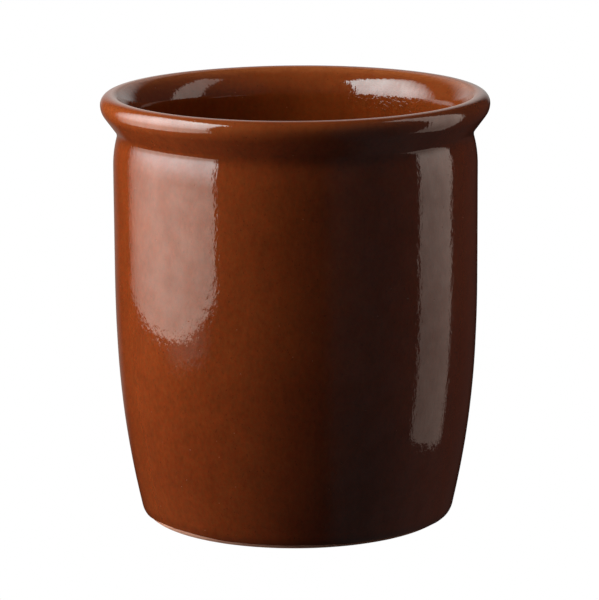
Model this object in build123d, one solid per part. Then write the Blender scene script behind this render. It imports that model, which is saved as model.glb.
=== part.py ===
from build123d import *
import os
from math import acos, cos, degrees, radians, sin

# An open stoneware pickling crock of about two litres, with the two half-moon weights that hold
# the vegetables under the brine. Millimetres. The origin is the middle of the surface that the
# foot stands on, and +Z points up, out of the mouth. The crock is turned about the Z axis, so it
# is drawn as a half section: the first number of a point is its radius, the second its height.

# The crock, measured over its glaze.
height = 170.6
rim_radius = 77.0
wall_radius = 72.2
throat_radius = 64.5
floor_height = 8.5

# One even coat of glaze covers the clay, and stops short of the surface the crock stands on.
glaze_thickness = 0.28
glaze_line = 1.4

# The foot is bare clay: a standing ring with a shallow recess inside it.
recess_radius = 43.0
recess_depth = 1.8
recess_slope_width = 2.5
foot_corner_radius = 6.0

# Outside, the wall leans out from the foot, straightens, and is upright below the shoulder.
# A lean is the wall's angle from upright.
base_lean = 13.0
middle_lean = 3.0
lower_curve_radius = 360.0
upper_curve_radius = 608.0

# The shoulder turns in above the upright wall, and a hollow groove runs on into the rim.
shoulder_height = 142.0
shoulder_radius = 42.0
groove_radius = 4.2

# The rolled rim: a bead outside, a round crest, and a rounded flare that narrows to the throat.
bead_radius = 6.8
bead_lean = 36.5
crest_radius = 4.0
flare_lean = 55.0

# Inside, the throat runs straight down, and the wall then draws in to the floor.
straight_bottom = 92.0
floor_edge_radius = 55.6
floor_fillet = 8.0

# The weights are the two halves of one disc, with a finger hole across the gap between them.
weight_radius = 54.5
weight_thickness = 18.0
weight_gap = 4.0
weight_corner_radius = 6.0
finger_hole_radius = 12.0
finger_hole_rounding = 2.5
weight_top_rounding = 3.0
weight_bottom_rounding = 6.5

# Sizes of the clay under the glaze.
clay_wall_radius = wall_radius - glaze_thickness
clay_rim_radius = rim_radius - glaze_thickness
clay_throat_radius = throat_radius + glaze_thickness
clay_floor_height = floor_height - glaze_thickness
crest_height = height - glaze_thickness - crest_radius


def shoulder_lean():
    """How far the shoulder leans in where the groove starts. The groove's circle touches both
    the shoulder's circle and the straight underside of the bead."""
    bead = radians(bead_lean)
    inset = (clay_wall_radius - shoulder_radius) - (clay_rim_radius - bead_radius)
    drop = crest_height - shoulder_height
    clearance = bead_radius + groove_radius - inset * cos(bead) - drop * sin(bead)
    return degrees(acos(clearance / (shoulder_radius + groove_radius))) - bead_lean


def underside_line():
    """From the axis across the recess and the standing ring to the foot's corner."""
    base, middle = radians(base_lean), radians(middle_lean)
    wall_draw = lower_curve_radius * (cos(middle) - cos(base)) + upper_curve_radius * (1 - cos(middle))
    ring_radius = clay_wall_radius - wall_draw - foot_corner_radius * cos(base)
    ceiling = Line((0, recess_depth), (recess_radius - recess_slope_width, recess_depth))
    slope = Line(ceiling @ 1, (recess_radius, 0))
    standing_ring = Line(slope @ 1, (ring_radius, 0))
    return [ceiling, slope, standing_ring]


def outer_wall_line(start):
    """From the standing ring round the foot's corner, up the outside and through the groove."""
    corner = JernArc(start, (1, 0), foot_corner_radius, 90 - base_lean)
    lower = JernArc(corner @ 1, corner % 1, lower_curve_radius, base_lean - middle_lean)
    upper = JernArc(lower @ 1, lower % 1, upper_curve_radius, middle_lean)
    upright = Line(upper @ 1, ((upper @ 1).X, shoulder_height))
    shoulder = JernArc(upright @ 1, (0, 1), shoulder_radius, shoulder_lean())
    groove = JernArc(shoulder @ 1, shoulder % 1, groove_radius, -shoulder_lean() - bead_lean)
    return [corner, lower, upper, upright, shoulder, groove]


def rim_line(start):
    """From the groove over the bead and the crest and down the flare to the throat."""
    bead = JernArc((clay_rim_radius, crest_height), (0, -1), bead_radius, -bead_lean)
    underside = Line(start, bead @ 1)
    crest = JernArc(bead @ 0, (0, 1), crest_radius, 180 - flare_lean)
    flare_width = (crest @ 1).X - clay_throat_radius
    flare_radius = flare_width / (1 - cos(radians(flare_lean)))
    flare = JernArc(crest @ 1, crest % 1, flare_radius, flare_lean)
    return [underside, bead, crest, flare]


def inside_line(start, end):
    """From the throat down the inside wall, across the floor and down the axis."""
    straight = Line(start, (clay_throat_radius, straight_bottom))
    wall = TangentArc(straight @ 1, (floor_edge_radius, clay_floor_height), tangent=(0, -1))
    floor = Line(wall @ 1, (0, clay_floor_height))
    axis = Line(floor @ 1, end)
    return [straight, wall, floor, axis]


def clay_section():
    """Half section of the fired clay, with the floor's edge rounded inside."""
    underside = underside_line()
    outside = outer_wall_line(underside[-1] @ 1)
    rim = rim_line(outside[-1] @ 1)
    inside = inside_line(rim[-1] @ 1, underside[0] @ 0)
    section = make_face(Curve(underside + outside + rim + inside).edges())
    floor_edge = section.vertices().sort_by_distance((floor_edge_radius, clay_floor_height))[0]
    return fillet(floor_edge, floor_fillet)


def glaze_section(clay):
    """Half section of the coat: the clay's outline moved out, less the clay and the bare foot."""
    coated = offset(clay, amount=glaze_thickness)
    beyond = 2 * rim_radius
    sides = (Align.MIN, Align.MAX)
    bare_foot = Pos(0, glaze_line) * Rectangle(beyond, beyond, align=sides)
    bare_recess = Pos(0, recess_depth) * Rectangle(recess_radius, beyond, align=sides)
    behind_axis = Rectangle(beyond, 2 * beyond, align=(Align.MAX, Align.CENTER))
    return coated - clay - bare_foot - bare_recess - behind_axis


def turned(section):
    """The solid that a half section makes about the Z axis."""
    return revolve(Plane.XZ * section, Axis.Z)


def weight_half():
    """The half of the weight disc on the +X side, lying on the floor of the crock."""
    half_width = weight_radius - weight_gap / 2
    side = Pos(weight_gap / 2, 0) * Rectangle(
        half_width, 2 * weight_radius, align=(Align.MIN, Align.CENTER)
    )
    plan = (Circle(weight_radius) & side) - Circle(finger_hole_radius)
    corners = plan.vertices().sort_by(lambda corner: abs(corner.Y))
    plan = fillet(corners[2:], weight_corner_radius)
    corners = plan.vertices().sort_by(lambda corner: abs(corner.Y))
    plan = fillet(corners[:2], finger_hole_rounding)
    block = Pos(0, 0, floor_height) * extrude(plan, weight_thickness)
    block = fillet(block.edges().group_by(Axis.Z)[-1], weight_top_rounding)
    return fillet(block.edges().group_by(Axis.Z)[0], weight_bottom_rounding)


clay = clay_section()
weight_right = weight_half()
nodes = {
    "crock_body": turned(clay),
    "glaze_coat": turned(glaze_section(clay)),
    "weight_right": weight_right,
    "weight_left": mirror(weight_right, about=Plane.YZ),
}

os.makedirs("parts", exist_ok=True)
for name, solid in nodes.items():
    export_step(solid, f"parts/{name}.step")
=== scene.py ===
from math import acos, ceil, cos, degrees, hypot, pi, radians, sin

import bmesh
import bpy
import numpy as np
from mathutils import Matrix, Vector, noise


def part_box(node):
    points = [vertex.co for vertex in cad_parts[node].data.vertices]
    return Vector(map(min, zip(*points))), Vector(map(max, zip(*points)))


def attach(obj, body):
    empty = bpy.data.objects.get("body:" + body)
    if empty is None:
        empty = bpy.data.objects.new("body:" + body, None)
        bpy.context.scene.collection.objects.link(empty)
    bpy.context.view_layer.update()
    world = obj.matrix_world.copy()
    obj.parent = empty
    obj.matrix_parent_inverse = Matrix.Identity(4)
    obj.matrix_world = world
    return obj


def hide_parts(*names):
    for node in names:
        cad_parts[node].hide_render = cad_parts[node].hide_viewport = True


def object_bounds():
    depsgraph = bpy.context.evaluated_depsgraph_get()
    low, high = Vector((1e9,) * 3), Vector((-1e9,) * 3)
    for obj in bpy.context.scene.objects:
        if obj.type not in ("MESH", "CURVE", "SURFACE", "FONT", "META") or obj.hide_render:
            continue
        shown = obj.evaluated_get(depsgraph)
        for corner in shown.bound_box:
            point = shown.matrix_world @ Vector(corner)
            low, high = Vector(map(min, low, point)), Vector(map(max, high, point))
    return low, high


# The looks of a pickling crock: its glaze, its bare foot, its two weights, and a plain studio.
# Sizes are in millimetres until a mesh is made, because that is how the crock is measured;
# the scene is in metres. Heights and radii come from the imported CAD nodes.
MM = 0.001

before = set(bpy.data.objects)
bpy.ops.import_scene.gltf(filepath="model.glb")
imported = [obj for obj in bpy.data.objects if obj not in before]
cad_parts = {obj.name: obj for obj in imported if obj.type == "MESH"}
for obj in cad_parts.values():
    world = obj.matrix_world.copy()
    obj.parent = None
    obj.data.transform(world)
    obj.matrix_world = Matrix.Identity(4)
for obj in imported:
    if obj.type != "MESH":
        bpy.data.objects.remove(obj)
cad_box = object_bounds()


# ---------------------------------------------------------------- sizes

clay_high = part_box("crock_body")[1]
coat_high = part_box("glaze_coat")[1]
weight_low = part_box("weight_right")[0]

top = coat_high.z / MM
rim_radius = coat_high.x / MM
coat_thickness = (coat_high.z - clay_high.z) / MM
floor_height = weight_low.z / MM

# The glazed outline, as centre points, radii and leans. A lean is the angle from upright.
wall_radius, throat_radius = 72.2, 64.5
base_lean, middle_lean = 13.0, 3.0
corner_radius, corner_height = 6.28, 6.0
lower_radius, upper_radius = 360.28, 608.28
shoulder_height, shoulder_radius, groove_radius = 142.0, 42.28, 3.92
bead_radius, bead_lean = 7.08, 36.5
crest_radius, flare_lean = 4.28, 55.0
inside_radius, inside_lean, inside_top = 386.6, 11.54, 92.0
floor_fillet = 7.72

# The bare clay underneath: a shallow recess inside the standing ring.
recess_depth, recess_radius, recess_slope = 1.8, 43.0, 2.5

# How finely the crock is meshed: steps round it, and the outline's own steps in millimetres.
SEGMENTS = 216
OUTLINE_STEP = 0.05
turn = np.arange(SEGMENTS) * 2 * pi / SEGMENTS


# ---------------------------------------------------------------- outlines

def arc(centre, radius, start, end):
    """Closely spaced points along an arc, from angle start to angle end in degrees."""
    count = max(4, ceil(abs(radians(end - start)) * radius / OUTLINE_STEP))
    angles = np.radians(np.linspace(start, end, count + 1))
    return np.stack([centre[0] + radius * np.cos(angles), centre[1] + radius * np.sin(angles)], -1)


def line(start, end):
    """Closely spaced points along a straight line."""
    count = max(2, ceil(hypot(end[0] - start[0], end[1] - start[1]) / OUTLINE_STEP))
    share = np.linspace(0, 1, count + 1)[:, None]
    return np.array(start) * (1 - share) + np.array(end) * share


def along(angle, radius):
    """A step of that length in the direction of the angle."""
    return np.array([cos(radians(angle)), sin(radians(angle))]) * radius


def without_repeats(points):
    """The points, less those that lie on the one before them."""
    far_enough = np.r_[True, np.hypot(*np.diff(points, axis=0).T) > 1e-4]
    return points[far_enough]


def glazed_outline():
    """The outside of the glaze from the foot's corner, over the rim, to the middle of the floor."""
    draw = upper_radius * (1 - cos(radians(middle_lean)))
    draw += lower_radius * (cos(radians(middle_lean)) - cos(radians(base_lean)))
    corner_centre = np.array([wall_radius - draw - corner_radius * cos(radians(base_lean)), corner_height])
    lower_centre = corner_centre + along(-base_lean, corner_radius - lower_radius)
    upper_centre = lower_centre + along(-middle_lean, lower_radius - upper_radius)
    upright_start = upper_centre + along(0, upper_radius)
    shoulder_centre = np.array([wall_radius - shoulder_radius, shoulder_height])
    bead_centre = np.array([rim_radius - bead_radius, top - crest_radius])
    bead_start = bead_centre + along(-bead_lean, bead_radius)
    clearance = groove_radius - (shoulder_centre - bead_start) @ along(-bead_lean, 1.0)
    shoulder_lean = degrees(acos(clearance / (shoulder_radius + groove_radius))) - bead_lean
    groove_centre = shoulder_centre + along(shoulder_lean, shoulder_radius + groove_radius)
    groove_end = groove_centre + along(180 - bead_lean, groove_radius)
    crest_centre = np.array([rim_radius - crest_radius, top - crest_radius])
    flare_start = crest_centre + along(180 - flare_lean, crest_radius)
    flare_radius = (flare_start[0] - throat_radius) / (1 - cos(radians(flare_lean)))
    throat_top = flare_start[1] - flare_radius * sin(radians(flare_lean))
    flare_centre = np.array([throat_radius + flare_radius, throat_top])
    wall_centre = np.array([throat_radius - inside_radius, inside_top])
    fillet_start = wall_centre + along(-inside_lean, inside_radius)
    fillet_centre = fillet_start - along(-inside_lean, floor_fillet)
    return without_repeats(np.concatenate([
        arc(corner_centre, corner_radius, -90, -base_lean),
        arc(lower_centre, lower_radius, -base_lean, -middle_lean),
        arc(upper_centre, upper_radius, -middle_lean, 0),
        line(upright_start, (wall_radius, shoulder_height)),
        arc(shoulder_centre, shoulder_radius, 0, shoulder_lean),
        arc(groove_centre, groove_radius, 180 + shoulder_lean, 180 - bead_lean),
        line(groove_end, bead_start),
        arc(bead_centre, bead_radius, -bead_lean, 0),
        arc(crest_centre, crest_radius, 0, 180 - flare_lean),
        arc(flare_centre, flare_radius, 180 - flare_lean, 180),
        line((throat_radius, throat_top), (throat_radius, inside_top)),
        arc(wall_centre, inside_radius, 0, -inside_lean),
        arc(fillet_centre, floor_fillet, -inside_lean, -90),
        line((fillet_centre[0], floor_height), (0, floor_height)),
    ]))


class Outline:
    """A half section that gives its point and outward normal at any distance along it."""

    def __init__(self, points):
        steps = np.hypot(*np.diff(points, axis=0).T)
        self.distance = np.r_[0, np.cumsum(steps)]
        self.points = points
        tangent = np.gradient(points, self.distance, axis=0)
        tangent /= np.linalg.norm(tangent, axis=1)[:, None]
        self.normals = np.stack([tangent[:, 1], -tangent[:, 0]], -1)
        self.length = self.distance[-1]

    def at(self, s):
        """Radius, height, and the normal's two parts at the distances s."""
        r = np.interp(s, self.distance, self.points[:, 0])
        z = np.interp(s, self.distance, self.points[:, 1])
        nr = np.interp(s, self.distance, self.normals[:, 0])
        nz = np.interp(s, self.distance, self.normals[:, 1])
        return r, z, nr, nz

    def nearest(self, r, z):
        """How far along the outline its nearest point to (r, z) lies."""
        return self.distance[np.argmin(np.hypot(self.points[:, 0] - r, self.points[:, 1] - z))]


glazed = Outline(glazed_outline())

# Distances along the glazed outline, each found from a radius and a height close to the place.
foot_s = glazed.nearest(62.6, 4.5)
groove_s = glazed.nearest(70.6, 154.0)
bead_s = glazed.nearest(rim_radius, top - crest_radius)
crest_s = glazed.nearest(rim_radius - crest_radius, top)
flare_end_s = glazed.nearest(throat_radius, 159.0)
throat_s = glazed.nearest(throat_radius, 150.0)
floor_s = glazed.nearest(50.0, floor_height)


# ---------------------------------------------------------------- meshes

def noise_at(points, scale, seed):
    """Smooth noise from about -1 to 1 at each point, with features about 1 / scale across."""
    shift = Vector((seed * 17.3, seed * 5.1, seed * 9.7))
    flat = points.reshape(-1, 3)
    values = [noise.noise(Vector(point) * scale + shift) for point in flat]
    return np.array(values).reshape(points.shape[:-1])


def ring_points(s, outline):
    """The points at distances s along the outline, one row of them for each step of the turn."""
    r, z, nr, nz = outline.at(s)
    x_axis, y_axis = np.sin(turn), -np.cos(turn)
    points = np.stack([r * x_axis, r * y_axis, z + 0 * x_axis], -1)
    normals = np.stack([nr * x_axis, nr * y_axis, nz + 0 * x_axis], -1)
    return points, normals


def spaced(start, end, step):
    """Even distances from start up to, but not including, the end."""
    return np.linspace(start, end, max(1, round((end - start) / step)) + 1)[:-1]


def glaze_line(azimuth):
    """Height at which the glaze stops. It wanders around the foot, and rises at one bare place."""
    wander = 0.22 * np.sin(3 * azimuth + 0.8) + 0.14 * np.sin(7 * azimuth + 2.0)
    wander += 0.08 * np.sin(16 * azimuth) + 0.05 * np.sin(31 * azimuth + 1.0)
    usual_height = 1.9
    bare_place, bare_width, bare_rise = radians(-50), radians(26), 1.45
    from_bare_place = np.angle(np.exp(1j * (azimuth - bare_place)))
    return usual_height + wander + bare_rise * np.exp(-(from_bare_place / bare_width) ** 2)


def link_mesh(name, vertices, faces, material, smooth=True):
    """A new object from vertices in millimetres."""
    mesh = bpy.data.meshes.new(name)
    mesh.from_pydata((np.asarray(vertices) * MM).tolist(), [], faces)
    mesh.validate()
    mesh.shade_smooth() if smooth else mesh.shade_flat()
    mesh.materials.append(material)
    obj = bpy.data.objects.new(name, mesh)
    bpy.context.scene.collection.objects.link(obj)
    return obj


def lathe_faces(rows, first=0):
    """Quads between neighbouring rows of SEGMENTS points, from the point numbered first."""
    faces = []
    for row in range(rows - 1):
        a = first + row * SEGMENTS
        b = a + SEGMENTS
        for i in range(SEGMENTS):
            j = (i + 1) % SEGMENTS
            faces.append((a + i, a + j, b + j, b + i))
    return faces


def surface_wander(points, inside):
    """How far the fired surface lies inside its true outline, in millimetres, always positive:
    a little out of round, with throwing rings, slow swells and ripples."""
    azimuth = turn[None, :]
    z = points[..., 2]
    out_of_round = 0.05 * (1 + np.sin(2 * azimuth + 0.7)) + 0.02 * (1 + np.sin(3 * azimuth + 2.1))
    pitch = 5.2
    spiral = np.sin(2 * pi * z / pitch + azimuth)
    fine_spiral = np.sin(2 * pi * z / (pitch * 0.37) + azimuth * 2 + 1.3)
    patchy = 0.5 + 0.5 * noise_at(points, 0.035, 3)
    strength = np.where(inside, 0.020, 0.006)
    rings = strength * patchy * (1 + spiral) + 0.3 * strength * patchy * (1 + fine_spiral)
    swell = np.where(inside, 0.045, 0.022) * (1 + noise_at(points, 0.06, 5))
    ripple = np.where(inside, 0.012, 0.006) * (1 + noise_at(points, 0.16, 8))
    return out_of_round + rings + swell + ripple


def glaze_rows():
    """Distances along the outline, one row for each ring of points, and where the coat starts.
    The first rows follow the wandering lower edge, and blend into level ones above the foot."""
    table = np.linspace(0, foot_s, 400)
    start = np.interp(glaze_line(turn), glazed.at(table)[1], table)
    edge_steps = [0, 0.05, 0.12, 0.22, 0.35, 0.55, 0.85, 1.3]
    first_level = foot_s + 5.0
    rows = [start + step for step in edge_steps]
    for share in np.linspace(0, 1, 9)[1:-1]:
        rows.append((start + edge_steps[-1]) * (1 - share) + first_level * share)
    level = np.concatenate([
        spaced(first_level, groove_s - 4, 1.25),
        spaced(groove_s - 4, groove_s + 2, 0.5),
        spaced(groove_s + 2, crest_s + 9, 0.6),
        spaced(crest_s + 9, throat_s, 1.2),
        spaced(throat_s, floor_s - 14, 1.9),
        spaced(floor_s - 14, floor_s + 4, 1.0),
        spaced(floor_s + 4, glazed.length - 1.5, 4.0),
        [glazed.length - 1.5],
    ])
    rows += [np.full(SEGMENTS, s) for s in level]
    return np.array(rows), start


def glaze_thickness(s, start, points):
    """How far the coat's face stands off the clay: a rounded edge, a roll above it, then even."""
    from_edge = s - start
    roll = 1 + 0.25 * np.exp(-((from_edge - 0.9) / 0.5) ** 2)
    round_edge = np.sqrt(np.clip(1 - (1 - np.clip(from_edge / 0.28, 0, 1)) ** 2, 0, 1))
    depth = surface_wander(points, s > crest_s + 3)
    settle = np.clip(from_edge / 6, 0, 1)
    pole = np.clip((glazed.length - s) / 8, 0, 1)
    lift = coat_thickness * round_edge * roll - depth * settle * pole
    lift = np.clip(lift, 0.0, coat_thickness * 1.1)
    return np.where(s < foot_s, lift, np.minimum(lift, coat_thickness))


def glaze_shell(material):
    """The coat as a closed shell: its face, and a plain back that lies on the clay.
    The back has every fourth row, and all of them round the rim. Fans close the middle of the
    floor, and the last ring of faces closes the lower edge."""
    off_clay, rim_margin = 0.015, 5
    s, start = glaze_rows()
    points, normals = ring_points(s, glazed)
    lift = glaze_thickness(s, start, points)
    face = points + normals * (lift - coat_thickness)[..., None]
    round_rim = (s[:, 0] > groove_s - rim_margin) & (s[:, 0] < crest_s + 3 + rim_margin)
    back_rows = np.flatnonzero((np.arange(len(s)) % 4 == 0) | round_rim)
    back_rows = np.union1d(back_rows, [len(s) - 1])[::-1]
    back = points[back_rows] - normals[back_rows] * (coat_thickness - off_clay)
    back[-1] = face[0] + (back[-1] - face[0]) * 0.6
    middle_face = np.array([[0, 0, floor_height - 0.05]])
    middle_back = np.array([[0, 0, floor_height - coat_thickness + off_clay]])
    face_count, back_count = len(s) * SEGMENTS, len(back_rows) * SEGMENTS
    vertices = np.concatenate([face.reshape(-1, 3), back.reshape(-1, 3), middle_face, middle_back])
    faces = lathe_faces(len(s)) + lathe_faces(len(back_rows), face_count)
    last_face, first_back = face_count - SEGMENTS, face_count
    last_back = face_count + back_count - SEGMENTS
    middle = face_count + back_count
    for i in range(SEGMENTS):
        j = (i + 1) % SEGMENTS
        faces.append((last_face + i, last_face + j, middle))
        faces.append((first_back + j, first_back + i, middle + 1))
        faces.append((last_back + i, last_back + j, j, i))
    shell = link_mesh("glaze_skin", vertices, faces, material)
    thin, pool = glaze_depth_marks(s, s - start)
    for name, values in (("glaze_thin", thin), ("glaze_pool", pool), ("glaze_crawl", crawled_place(s))):
        attribute = shell.data.attributes.new(name, "FLOAT", "POINT")
        full = np.zeros(len(vertices))
        full[:face_count] = values.ravel()
        attribute.data.foreach_set("value", full.astype(np.float32))
    return shell


def glaze_depth_marks(s, from_edge):
    """Where the glaze ran thin (crest, bead, foot edge) and where it gathered (neck, floor edge)."""
    def near(place, width):
        return np.exp(-((s - place) / width) ** 2)

    thin = 0.9 * near(crest_s + 2.2, 2.4) + 0.28 * near(bead_s + 1.5, 3.5) + 0.18 * near(crest_s + 8, 5)
    thin += 0.5 * np.exp(-(from_edge / 0.8) ** 2)
    pool = 0.25 * near(groove_s, 2.0) + 0.6 * near(floor_s - 2, 5)
    pool += 0.25 * np.exp(-((from_edge - 2) / 1.5) ** 2)
    return np.clip(thin, 0, 1), np.clip(pool, 0, 1)


def crawled_place(s):
    """Where the glaze crawled into small drops, on the lower part of the flare at the back right."""
    back_right, half_width = 138, 26
    from_middle = np.degrees(turn[None, :]) - back_right
    return np.exp(-((s - flare_end_s - 2.0) / 3.4) ** 2) * np.exp(-(from_middle / half_width) ** 2)


def clay_outline():
    """The clay under the glaze, from the middle of the recess round to the middle of the floor."""
    r, z, nr, nz = glazed.at(np.linspace(0, glazed.length, 6000))
    under = np.stack([r - nr * coat_thickness, z - nz * coat_thickness], -1)
    ceiling = line((0.0, recess_depth), (recess_radius - recess_slope, recess_depth))
    slope = line(ceiling[-1], (recess_radius, 0.0))
    ring = line(slope[-1], (under[0, 0], 0.0))
    under[:, 1] = np.maximum(under[:, 1], 0.0)
    return without_repeats(np.concatenate([ceiling, slope[1:], ring[1:], under[1:]]))


def clay_body(material):
    """The fired clay: fine and gritty where the foot shows, with turned rings underneath, and
    plain where the glaze hides it."""
    clay = Outline(clay_outline())
    slope_s = clay.nearest(recess_radius - recess_slope, recess_depth)
    ring_s = clay.nearest(recess_radius, 0.0)
    corner_s = clay.nearest(56.5, 0.0)
    hidden_s = clay.nearest(62.4, 5.0)
    groove_under_s = clay.nearest(70.3, 154.0)
    crest_under_s = clay.nearest(rim_radius - crest_radius, top)
    rows = np.concatenate([
        [1.5],
        spaced(3.0, slope_s - 1, 0.9),
        spaced(slope_s - 1, ring_s + 1, 0.4),
        spaced(ring_s + 1, corner_s, 0.8),
        spaced(corner_s, hidden_s, 0.35),
        spaced(hidden_s, groove_under_s - 6, 3.0),
        spaced(groove_under_s - 6, crest_under_s + 6, 0.7),
        spaced(crest_under_s + 6, clay.length - 1.5, 3.0),
        [clay.length - 1.5],
    ])
    s = np.repeat(rows[:, None], SEGMENTS, 1)
    points, normals = ring_points(s, clay)
    r = np.hypot(points[..., 0], points[..., 1])
    grit = 0.5 + 0.5 * noise_at(points, 1.1, 21)
    coarse = 0.5 + 0.5 * noise_at(points, 0.22, 22)
    turned_rings = 0.5 + 0.5 * np.sin(2 * pi * r / 1.7 + turn[None, :] + 3 * noise_at(points, 0.05, 23))
    shown = np.clip((hidden_s - s) / 2.0, 0, 1)
    underneath = np.clip((ring_s - s) / 1.0, 0, 1)
    depth = 0.035 * grit + 0.04 * coarse + 0.05 * turned_rings * underneath
    depth = depth * shown + 0.06 * (1 - shown)
    depth = np.where((points[..., 2] < 0.2) & (s > ring_s), depth * 0.6, depth)
    vertices = (points - normals * depth[..., None]).reshape(-1, 3)
    vertices[:, 2] = np.maximum(vertices[:, 2], 0.0)
    poles = np.array([[0, 0, recess_depth + 0.03], [0, 0, floor_height - coat_thickness - 0.03]])
    vertices = np.concatenate([vertices, poles])
    faces = lathe_faces(len(rows))
    count = len(rows) * SEGMENTS
    for i in range(SEGMENTS):
        j = (i + 1) % SEGMENTS
        faces.append((j, i, count))
        faces.append((count - SEGMENTS + i, count - SEGMENTS + j, count + 1))
    return link_mesh("stoneware_body", vertices, faces, material)


def softened_copy(node):
    """A new object with the shape of a CAD node, remeshed evenly and with softly worn edges."""
    name = node + "_stone"
    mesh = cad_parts[node].data.copy()
    stone = bpy.data.objects.new(name, mesh)
    bpy.context.scene.collection.objects.link(stone)
    work = bmesh.new()
    work.from_mesh(mesh)
    bmesh.ops.remove_doubles(work, verts=work.verts, dist=0.01 * MM)
    work.to_mesh(mesh)
    work.free()
    remesh = stone.modifiers.new("even", "REMESH")
    remesh.mode = "VOXEL"
    remesh.voxel_size = 0.9 * MM
    soften = stone.modifiers.new("soften", "SMOOTH")
    soften.factor = 0.5
    soften.iterations = 6
    bpy.context.view_layer.update()
    finished = bpy.data.meshes.new_from_object(stone.evaluated_get(bpy.context.evaluated_depsgraph_get()))
    stone.modifiers.clear()
    stone.data = finished
    bpy.data.meshes.remove(mesh)
    finished.name = name
    return stone


def weight_stone(node, material, seed):
    """A weight with softly worn edges and a gently uneven surface, made from the CAD half disc."""
    stone = softened_copy(node)
    mesh = stone.data
    flat = np.zeros(len(mesh.vertices) * 3, np.float32)
    mesh.vertices.foreach_get("co", flat)
    points = flat.reshape(-1, 3).astype(float) / MM
    mesh.vertex_normals.foreach_get("vector", flat)
    normals = flat.reshape(-1, 3)
    depth = 0.10 * (1 + noise_at(points, 0.045, seed)) + 0.03 * (1 + noise_at(points, 0.18, seed + 1))
    points = points - normals * depth[:, None]
    points[:, 2] = np.maximum(points[:, 2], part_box(node)[0].z / MM)
    mesh.vertices.foreach_set("co", (points * MM).astype(np.float32).ravel())
    mesh.materials.clear()
    mesh.materials.append(material)
    mesh.shade_smooth()
    mesh.update()
    return stone


# ---------------------------------------------------------------- materials

# The colour sockets of a Mix node, which has others of the same names for numbers and vectors.
COLOUR_A, COLOUR_B, MIXED_COLOUR = 6, 7, 2


class Nodes:
    """Short ways to add shader nodes to one material."""

    def __init__(self, name):
        self.material = bpy.data.materials.new(name)
        self.material.use_nodes = True
        self.tree = self.material.node_tree
        self.tree.nodes.clear()
        self.output = self.tree.nodes.new("ShaderNodeOutputMaterial")
        self.shader = self.tree.nodes.new("ShaderNodeBsdfPrincipled")
        self.join(self.shader.outputs[0], self.output.inputs["Surface"])
        self.place = self.tree.nodes.new("ShaderNodeTexCoord").outputs["Object"]

    def join(self, source, target):
        """Links an output to an input."""
        self.tree.links.new(source, target)

    def put(self, value, target):
        """Joins an output to the target, or sets a plain number or colour on it."""
        if isinstance(value, bpy.types.NodeSocket):
            self.join(value, target)
        else:
            target.default_value = value

    def stretched(self, x, y, z):
        """The place with each axis scaled, so that what is drawn on it stretches the other way."""
        node = self.tree.nodes.new("ShaderNodeMapping")
        self.join(self.place, node.inputs["Vector"])
        node.inputs["Scale"].default_value = (x, y, z)
        return node.outputs[0]

    def noise(self, size, detail=2.0, place=None, roughness=0.5):
        """Noise from 0 to 1 with features about `size` millimetres across."""
        node = self.tree.nodes.new("ShaderNodeTexNoise")
        self.join(place or self.place, node.inputs["Vector"])
        node.inputs["Scale"].default_value = 1 / (size * MM)
        node.inputs["Detail"].default_value = detail
        node.inputs["Roughness"].default_value = roughness
        return node.outputs["Fac"]

    def spots(self, size):
        """Distance and colour of scattered cells about `size` millimetres apart."""
        node = self.tree.nodes.new("ShaderNodeTexVoronoi")
        self.join(self.place, node.inputs["Vector"])
        node.inputs["Scale"].default_value = 1 / (size * MM)
        return node.outputs["Distance"], node.outputs["Color"]

    def span(self, value, low, high, to_low=0.0, to_high=1.0, smooth=True):
        """The value from low to high, moved to the range from to_low to to_high."""
        node = self.tree.nodes.new("ShaderNodeMapRange")
        node.interpolation_type = "SMOOTHSTEP" if smooth else "LINEAR"
        self.put(value, node.inputs["Value"])
        node.inputs["From Min"].default_value = low
        node.inputs["From Max"].default_value = high
        node.inputs["To Min"].default_value = to_low
        node.inputs["To Max"].default_value = to_high
        return node.outputs["Result"]

    def math(self, operation, a, b=0.0):
        """One operation on two numbers."""
        node = self.tree.nodes.new("ShaderNodeMath")
        node.operation = operation
        self.put(a, node.inputs[0])
        self.put(b, node.inputs[1])
        return node.outputs[0]

    def mix(self, share, a, b, blend="MIX"):
        """Two colours mixed, or blended in another way, by a share of the second."""
        node = self.tree.nodes.new("ShaderNodeMix")
        node.data_type = "RGBA"
        node.blend_type = blend
        self.put(share, node.inputs["Factor"])
        self.put(a, node.inputs[COLOUR_A])
        self.put(b, node.inputs[COLOUR_B])
        return node.outputs[MIXED_COLOUR]

    def attribute(self, name):
        """A number kept at each point of the mesh."""
        node = self.tree.nodes.new("ShaderNodeAttribute")
        node.attribute_name = name
        return node.outputs["Fac"]

    def bump(self, height, depth, below=None):
        """Bump of `depth` millimetres from a height of 0 to 1."""
        node = self.tree.nodes.new("ShaderNodeBump")
        node.inputs["Strength"].default_value = 1.0
        node.inputs["Distance"].default_value = depth * MM
        self.join(height, node.inputs["Height"])
        if below is not None:
            self.join(below, node.inputs["Normal"])
        return node.outputs[0]


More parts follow.
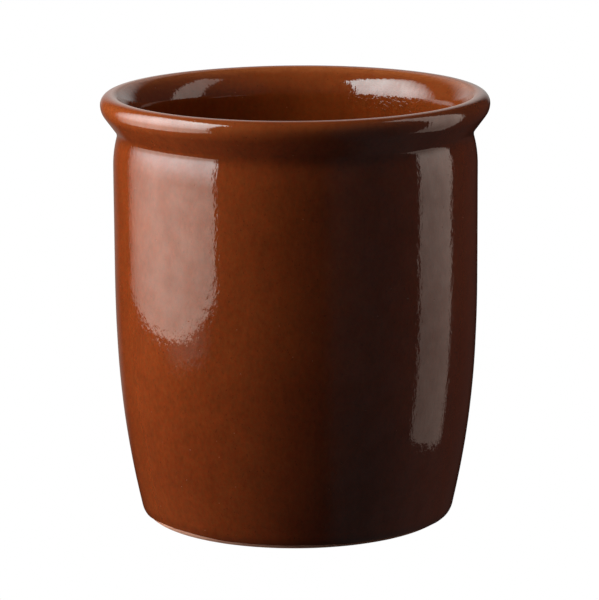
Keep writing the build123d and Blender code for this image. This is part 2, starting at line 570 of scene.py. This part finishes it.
def brown_glaze(name, brown, deep, broken, marked, gloss=0.045, peel=0.006):
    """Glossy iron-brown glaze: clouds, drawn-down streaks, iron flecks, pinholes and orange peel.
    Marked glaze also shows where it is thin, where it gathered and where it crawled."""
    redder, greener = (1.07, 0.92, 0.85, 1.0), (0.95, 1.06, 1.12, 1.0)
    iron = (0.020, 0.006, 0.003, 1.0)
    n = Nodes(name)
    drawn = n.stretched(1.0, 1.0, 0.7)

    # Colour: slow clouds, then streaks, a blush and a mottle that multiply it.
    cloud = n.noise(38, 3.0)
    colour = n.mix(n.span(cloud, 0.35, 0.65), brown, deep)
    streak = n.noise(1.9, 5.0, drawn, 0.7)
    shade = n.span(streak, 0.25, 0.75, 0.80, 1.20, smooth=False)
    colour = n.mix(1.0, colour, shade, "MULTIPLY")
    blush = n.mix(n.span(n.noise(1.2, 3.0), 0.35, 0.65), redder, greener)
    colour = n.mix(1.0, colour, blush, "MULTIPLY")
    mottle = n.noise(7.0, 3.0, drawn)
    colour = n.mix(1.0, colour, n.span(mottle, 0.3, 0.7, 0.94, 1.06, smooth=False), "MULTIPLY")
    if marked:
        ragged = n.span(n.noise(2.4, 3.0), 0.25, 0.75, 0.75, 1.25)
        thin = n.math("MULTIPLY", n.attribute("glaze_thin"), ragged)
        pool = n.math("MULTIPLY", n.attribute("glaze_pool"), ragged)
        colour = n.mix(n.math("MINIMUM", thin, 1.0), colour, broken)
        gathered = (*(0.35 * part for part in deep[:3]), 1.0)
        colour = n.mix(n.math("MINIMUM", pool, 0.85), colour, gathered)

    # Dark iron flecks, and pinholes in a few of the cells.
    fleck = n.span(n.noise(0.85, 2.0, drawn), 0.66, 0.74)
    colour = n.mix(n.math("MULTIPLY", fleck, 0.45), colour, iron)
    distance, cell = n.spots(3.4)
    rare = n.span(cell, 0.62, 0.66)
    pinhole = n.math("MULTIPLY", n.span(distance, 0.085, 0.045), rare)
    colour = n.mix(n.math("MULTIPLY", pinhole, 0.55), colour, broken)
    n.join(colour, n.shader.inputs["Base Color"])

    # Sheen.
    sheen_patch = n.noise(16, 4.0)
    roughness = n.span(sheen_patch, 0.3, 0.7, gloss * 0.75, gloss * 1.35)
    roughness = n.math("ADD", roughness, n.math("MULTIPLY", pinhole, 0.25))
    n.join(roughness, n.shader.inputs["Roughness"])
    n.shader.inputs["IOR"].default_value = 1.5
    n.join(n.span(n.noise(7.0, 4.0), 0.3, 0.7, 0.44, 0.56), n.shader.inputs["Specular IOR Level"])

    # Relief, from the widest to the finest.
    orange_peel = n.bump(n.noise(5.0, 2.0), peel * 2.6)
    fine_peel = n.bump(n.noise(1.6, 3.0, n.stretched(1.0, 1.0, 0.5)), peel * 9.5, orange_peel)
    pitted = n.bump(n.math("SUBTRACT", 1.0, pinhole), 0.05, fine_peel)
    if marked:
        drops = n.span(n.noise(1.7, 3.0), 0.40, 0.62)
        pitted = n.bump(n.math("MULTIPLY", n.attribute("glaze_crawl"), drops), 0.075, pitted)
    n.join(pitted, n.shader.inputs["Normal"])
    return n.material


def bare_stoneware(name):
    """Unglazed pinkish clay with darker clouds, fine sand and dark grit."""
    pale, dark, speck = (0.76, 0.40, 0.28, 1.0), (0.60, 0.28, 0.19, 1.0), (0.16, 0.09, 0.06, 1.0)
    n = Nodes(name)
    colour = n.mix(n.span(n.noise(9, 4.0), 0.3, 0.7), pale, dark)
    colour = n.mix(1.0, colour, n.span(n.noise(0.7, 5.0), 0.3, 0.7, 0.82, 1.14, smooth=False), "MULTIPLY")
    distance, cell = n.spots(1.5)
    grit = n.math("MULTIPLY", n.span(distance, 0.22, 0.12), n.span(cell, 0.55, 0.6))
    colour = n.mix(n.math("MULTIPLY", grit, 0.6), colour, speck)
    n.join(colour, n.shader.inputs["Base Color"])
    n.join(n.span(n.noise(2.0, 3.0), 0.3, 0.7, 0.78, 0.92), n.shader.inputs["Roughness"])
    sand = n.bump(n.noise(0.5, 4.0), 0.05)
    n.join(n.bump(n.math("SUBTRACT", 1.0, grit), 0.05, sand), n.shader.inputs["Normal"])
    return n.material


# ---------------------------------------------------------------- the crock

crock_glaze = brown_glaze(
    "brown_glaze_looks",
    brown=(0.134, 0.0250, 0.0046, 1.0),
    deep=(0.118, 0.0208, 0.0036, 1.0),
    broken=(0.210, 0.0520, 0.0130, 1.0),
    marked=True,
)
weight_glaze = brown_glaze(
    "weight_glaze_looks",
    brown=(0.120, 0.0290, 0.0105, 1.0),
    deep=(0.085, 0.0190, 0.0070, 1.0),
    broken=(0.260, 0.0900, 0.0340, 1.0),
    marked=False,
    gloss=0.16,
    peel=0.016,
)
clay = bare_stoneware("bare_clay_looks")

skin = glaze_shell(crock_glaze)
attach(skin, "crock")
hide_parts("glaze_coat")

stoneware = clay_body(clay)
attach(stoneware, "crock")
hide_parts("crock_body")

for node, body, seed in (("weight_left", "left_weight", 41), ("weight_right", "right_weight", 57)):
    stone = weight_stone(node, weight_glaze, seed)
    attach(stone, body)
    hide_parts(node)


# ---------------------------------------------------------------- studio

def area_light(name, centre, facing, width, height, level, dimming=(), reflected=True):
    """A rectangular lamp that the camera can't see. Its sizes are in metres, and its level is
    its radiance. Each dimming is a direction and the lamp's colour at some places along it."""
    light = bpy.data.lights.new(name, "AREA")
    light.shape = "RECTANGLE"
    light.size = width
    light.size_y = height
    light.energy = 4 * width * height * level
    obj = bpy.data.objects.new(name, light)
    bpy.context.scene.collection.objects.link(obj)
    obj.location = centre
    obj.rotation_euler = Vector(facing).to_track_quat("-Z", "Y").to_euler()
    obj.visible_camera = False
    obj.visible_glossy = reflected
    light.use_nodes = True
    tree = light.node_tree
    colour = None
    for axis, stops in dimming:
        place = tree.nodes.new("ShaderNodeNewGeometry").outputs["Position"]
        colour = times(tree, colour, colour_along(tree, place, axis, stops))
    if colour is not None:
        emission = next(node for node in tree.nodes if node.type == "EMISSION")
        tree.links.new(colour, emission.inputs["Color"])


def colour_along(tree, place, axis, stops):
    """The colour at a place, from stops of (position along the axis, grey level or colour)."""
    along_axis = tree.nodes.new("ShaderNodeVectorMath")
    along_axis.operation = "DOT_PRODUCT"
    tree.links.new(place, along_axis.inputs[0])
    along_axis.inputs[1].default_value = axis
    share = tree.nodes.new("ShaderNodeMapRange")
    tree.links.new(along_axis.outputs["Value"], share.inputs["Value"])
    first, last = stops[0][0], stops[-1][0]
    share.inputs["From Min"].default_value = first
    share.inputs["From Max"].default_value = last
    ramp = tree.nodes.new("ShaderNodeValToRGB")
    tree.links.new(share.outputs["Result"], ramp.inputs["Fac"])
    elements = ramp.color_ramp.elements
    while len(elements) < len(stops):
        elements.new(0.5)
    for element, (position, level) in zip(elements, stops):
        element.position = (position - first) / (last - first)
        element.color = (*level, 1.0) if isinstance(level, tuple) else (level, level, level, 1.0)
    return ramp.outputs["Color"]


def times(tree, a, b):
    """Two colours multiplied, or the second alone where there is no first."""
    if a is None:
        return b
    node = tree.nodes.new("ShaderNodeMix")
    node.data_type = "RGBA"
    node.blend_type = "MULTIPLY"
    node.inputs["Factor"].default_value = 1.0
    tree.links.new(a, node.inputs[COLOUR_A])
    tree.links.new(b, node.inputs[COLOUR_B])
    return node.outputs[MIXED_COLOUR]


ACROSS, BACK, UP = (1, 0, 0), (0, 1, 0), (0, 0, 1)

# What dims each lamp: stops in metres along a direction, with a grey level or a colour.
# The soft box on the left gives the large highlight. It is dim and warm low down, where it is
# seen in the wall, and fades towards the back. Its lower edge slopes, so the highlight is rounded.
soft_box_rise = (UP, [
    (-0.006, (0.270, 0.232, 0.200)),
    (0.040, (0.300, 0.262, 0.230)),
    (0.108, (0.320, 0.282, 0.252)),
    (0.150, (0.400, 0.372, 0.345)),
    (0.185, (0.510, 0.500, 0.490)),
    (0.220, (0.570, 0.575, 0.565)),
    (0.340, (0.700, 0.740, 0.740)),
    (0.450, (0.720, 0.760, 0.760)),
    (0.540, (0.730, 0.820, 0.820)),
    (0.660, (0.700, 0.800, 0.800)),
    (0.720, (0.420, 0.460, 0.460)),
])
soft_box_depth = (BACK, [
    (-0.312, 0.73), (-0.217, 0.79), (-0.139, 0.93), (-0.064, 0.88),
    (0.015, 0.78), (0.105, 0.54), (0.221, 0.22), (0.298, 0.04),
])
soft_box_corner = ((0, 0.165, 0.986), [(-0.038, 0.0), (-0.030, 1.0), (0.800, 1.0)])

# The strip lamp on the right gives the narrow highlight.
strip_rise = (UP, [(-0.100, 0.40), (0.0, 0.42), (0.080, 0.66), (0.200, 0.98), (0.720, 1.0)])
strip_tint = (UP, [(-0.100, (1.0, 0.80, 0.68)), (0.720, (1.0, 0.90, 0.84))])

# The pale panel behind is seen in the rim's crest and at both ends of the flare.
back_spread = (ACROSS, [
    (-0.350, 0.0), (-0.300, 0.05), (-0.240, 0.30), (-0.170, 0.60), (-0.090, 0.85), (0.0, 0.52),
    (0.060, 0.74), (0.130, 0.74), (0.170, 0.62), (0.220, 0.32), (0.280, 0.0),
])
back_rise = (UP, [
    (0.120, (0.42, 0.39, 0.37)),
    (0.160, (0.55, 0.52, 0.50)),
    (0.210, (0.62, 0.59, 0.57)),
    (0.254, (0.68, 0.65, 0.63)),
    (0.300, (0.72, 0.69, 0.66)),
    (0.350, (0.80, 0.76, 0.73)),
    (0.400, (0.74, 0.70, 0.68)),
])

# Two faint glows from the table: below the large highlight, and along the left edge of the wall.
glow_rise = (UP, [(-0.041, (0, 0, 0)), (-0.026, (1.0, 0.86, 0.76)), (-0.007, (0.9, 0.78, 0.70))])
glow_depth = (BACK, [(-0.295, 0.0), (-0.220, 0.8), (-0.160, 1.0), (-0.100, 0.7), (-0.027, 0.0)])
table_spread = (ACROSS, [(-0.550, 0.0), (-0.400, 0.5), (-0.250, 1.0), (0.010, 1.0)])
table_rise = (UP, [(-0.250, (0, 0, 0)), (-0.180, (1.0, 0.80, 0.68)), (0.130, (1.0, 0.80, 0.68))])

# The lamps that are seen in the glaze.
RIGHTWARD = (0.983, 0.184, 0)
area_light("soft_box", (-0.3984, -0.0074, 0.357), RIGHTWARD, 0.620, 0.726, 12.0,
           [soft_box_rise, soft_box_depth, soft_box_corner])
area_light("strip_light", (0.36, 0.008, 0.31), (-1, 0, 0), 0.187, 0.82, 1.52, [strip_rise, strip_tint])
area_light("back_panel", (-0.035, 0.50, 0.46), (0, -1, 0), 0.63, 0.68, 1.0, [back_rise, back_spread])
area_light("low_glow", (-0.386, -0.16, -0.024), RIGHTWARD, 0.27, 0.034, 0.50, [glow_rise, glow_depth])
area_light("table_glow", (-0.27, 0.87, -0.06), (0.27, -0.87, 0), 0.58, 0.38, 0.16,
           [table_rise, table_spread])

# Two lamps that light the crock without being seen in its glaze.
area_light("table_bounce", (-0.42, 0.06, -0.03), (1.0, -0.1, 0.25), 0.35, 0.50, 1.6, reflected=False)
area_light("top_light", (0.0, 0.0, 1.10), (0, 0, -1), 0.30, 0.30, 3.2, reflected=False)


def studio_world():
    """Dim surroundings, a little lighter on the sides and dimmer behind, and white to the camera."""
    world = bpy.data.worlds.new("studio")
    bpy.context.scene.world = world
    world.use_nodes = True
    tree = world.node_tree
    dim = tree.nodes["Background"]
    direction = tree.nodes.new("ShaderNodeTexCoord").outputs["Generated"]
    across = colour_along(tree, direction, ACROSS, [
        (-1.0, 0.060), (0.0, 0.030), (0.27, 0.033), (0.42, 0.086), (0.6, 0.095), (1.0, 0.095),
    ])
    behind = colour_along(tree, direction, BACK, [
        (-1.0, 1.0), (0.0, 1.0), (0.3, 0.8), (0.63, 0.40), (1.0, 0.22),
    ])
    tree.links.new(times(tree, across, behind), dim.inputs["Color"])
    seen = tree.nodes.new("ShaderNodeLightPath")
    strength = tree.nodes.new("ShaderNodeMapRange")
    tree.links.new(seen.outputs["Is Diffuse Ray"], strength.inputs["Value"])
    strength.inputs["To Min"].default_value = 1.0
    strength.inputs["To Max"].default_value = 0.3
    tree.links.new(strength.outputs["Result"], dim.inputs["Strength"])
    white = tree.nodes.new("ShaderNodeBackground")
    white.inputs["Color"].default_value = (1, 1, 1, 1)
    choice = tree.nodes.new("ShaderNodeMixShader")
    tree.links.new(seen.outputs["Is Camera Ray"], choice.inputs[0])
    tree.links.new(dim.outputs[0], choice.inputs[1])
    tree.links.new(white.outputs[0], choice.inputs[2])
    tree.links.new(choice.outputs[0], tree.nodes["World Output"].inputs["Surface"])


def white_paper():
    """A material that is plain white whatever the light."""
    paper = bpy.data.materials.new("white_paper")
    paper.use_nodes = True
    tree = paper.node_tree
    tree.nodes.clear()
    glow = tree.nodes.new("ShaderNodeEmission")
    glow.inputs["Strength"].default_value = 1.0
    output = tree.nodes.new("ShaderNodeOutputMaterial")
    tree.links.new(glow.outputs[0], output.inputs["Surface"])
    return paper


def studio_floor():
    """A wide white floor that only the camera sees, just under the crock."""
    half, gap = 3000.0, 0.3
    z = cad_box[0][2] / MM - gap
    corners = [(-half, -half, z), (half, -half, z), (half, half, z), (-half, half, z)]
    floor = link_mesh("studio_floor", corners, [(0, 1, 2, 3)], white_paper(), smooth=False)
    floor.visible_diffuse = False
    floor.visible_glossy = False
    floor.visible_transmission = False
    floor.visible_shadow = False
    return floor


studio_world()
studio_floor()


# ---------------------------------------------------------------- camera

def long_lens_camera(target, elevation, distance, roll):
    """A camera in front of the crock. Its elevation, and its roll about its view, are in radians."""
    camera = bpy.data.cameras.new("camera")
    camera.lens = 219.96
    camera.sensor_width = 36.0
    camera_object = bpy.data.objects.new("camera", camera)
    bpy.context.scene.collection.objects.link(camera_object)
    away = Vector((0, -cos(elevation), sin(elevation)))
    place = Matrix.Translation(Vector(target) + away * distance)
    turned = (-away).to_track_quat("-Z", "Y").to_matrix().to_4x4()
    camera_object.matrix_world = place @ turned @ Matrix.Rotation(-roll, 4, "Z")
    return camera_object


bpy.context.scene.camera = long_lens_camera(
    target=(0.00124, 0.0, 0.0866), elevation=0.2074, distance=1.463, roll=0.0060,
)
bpy.context.scene.view_settings.view_transform = "Standard"
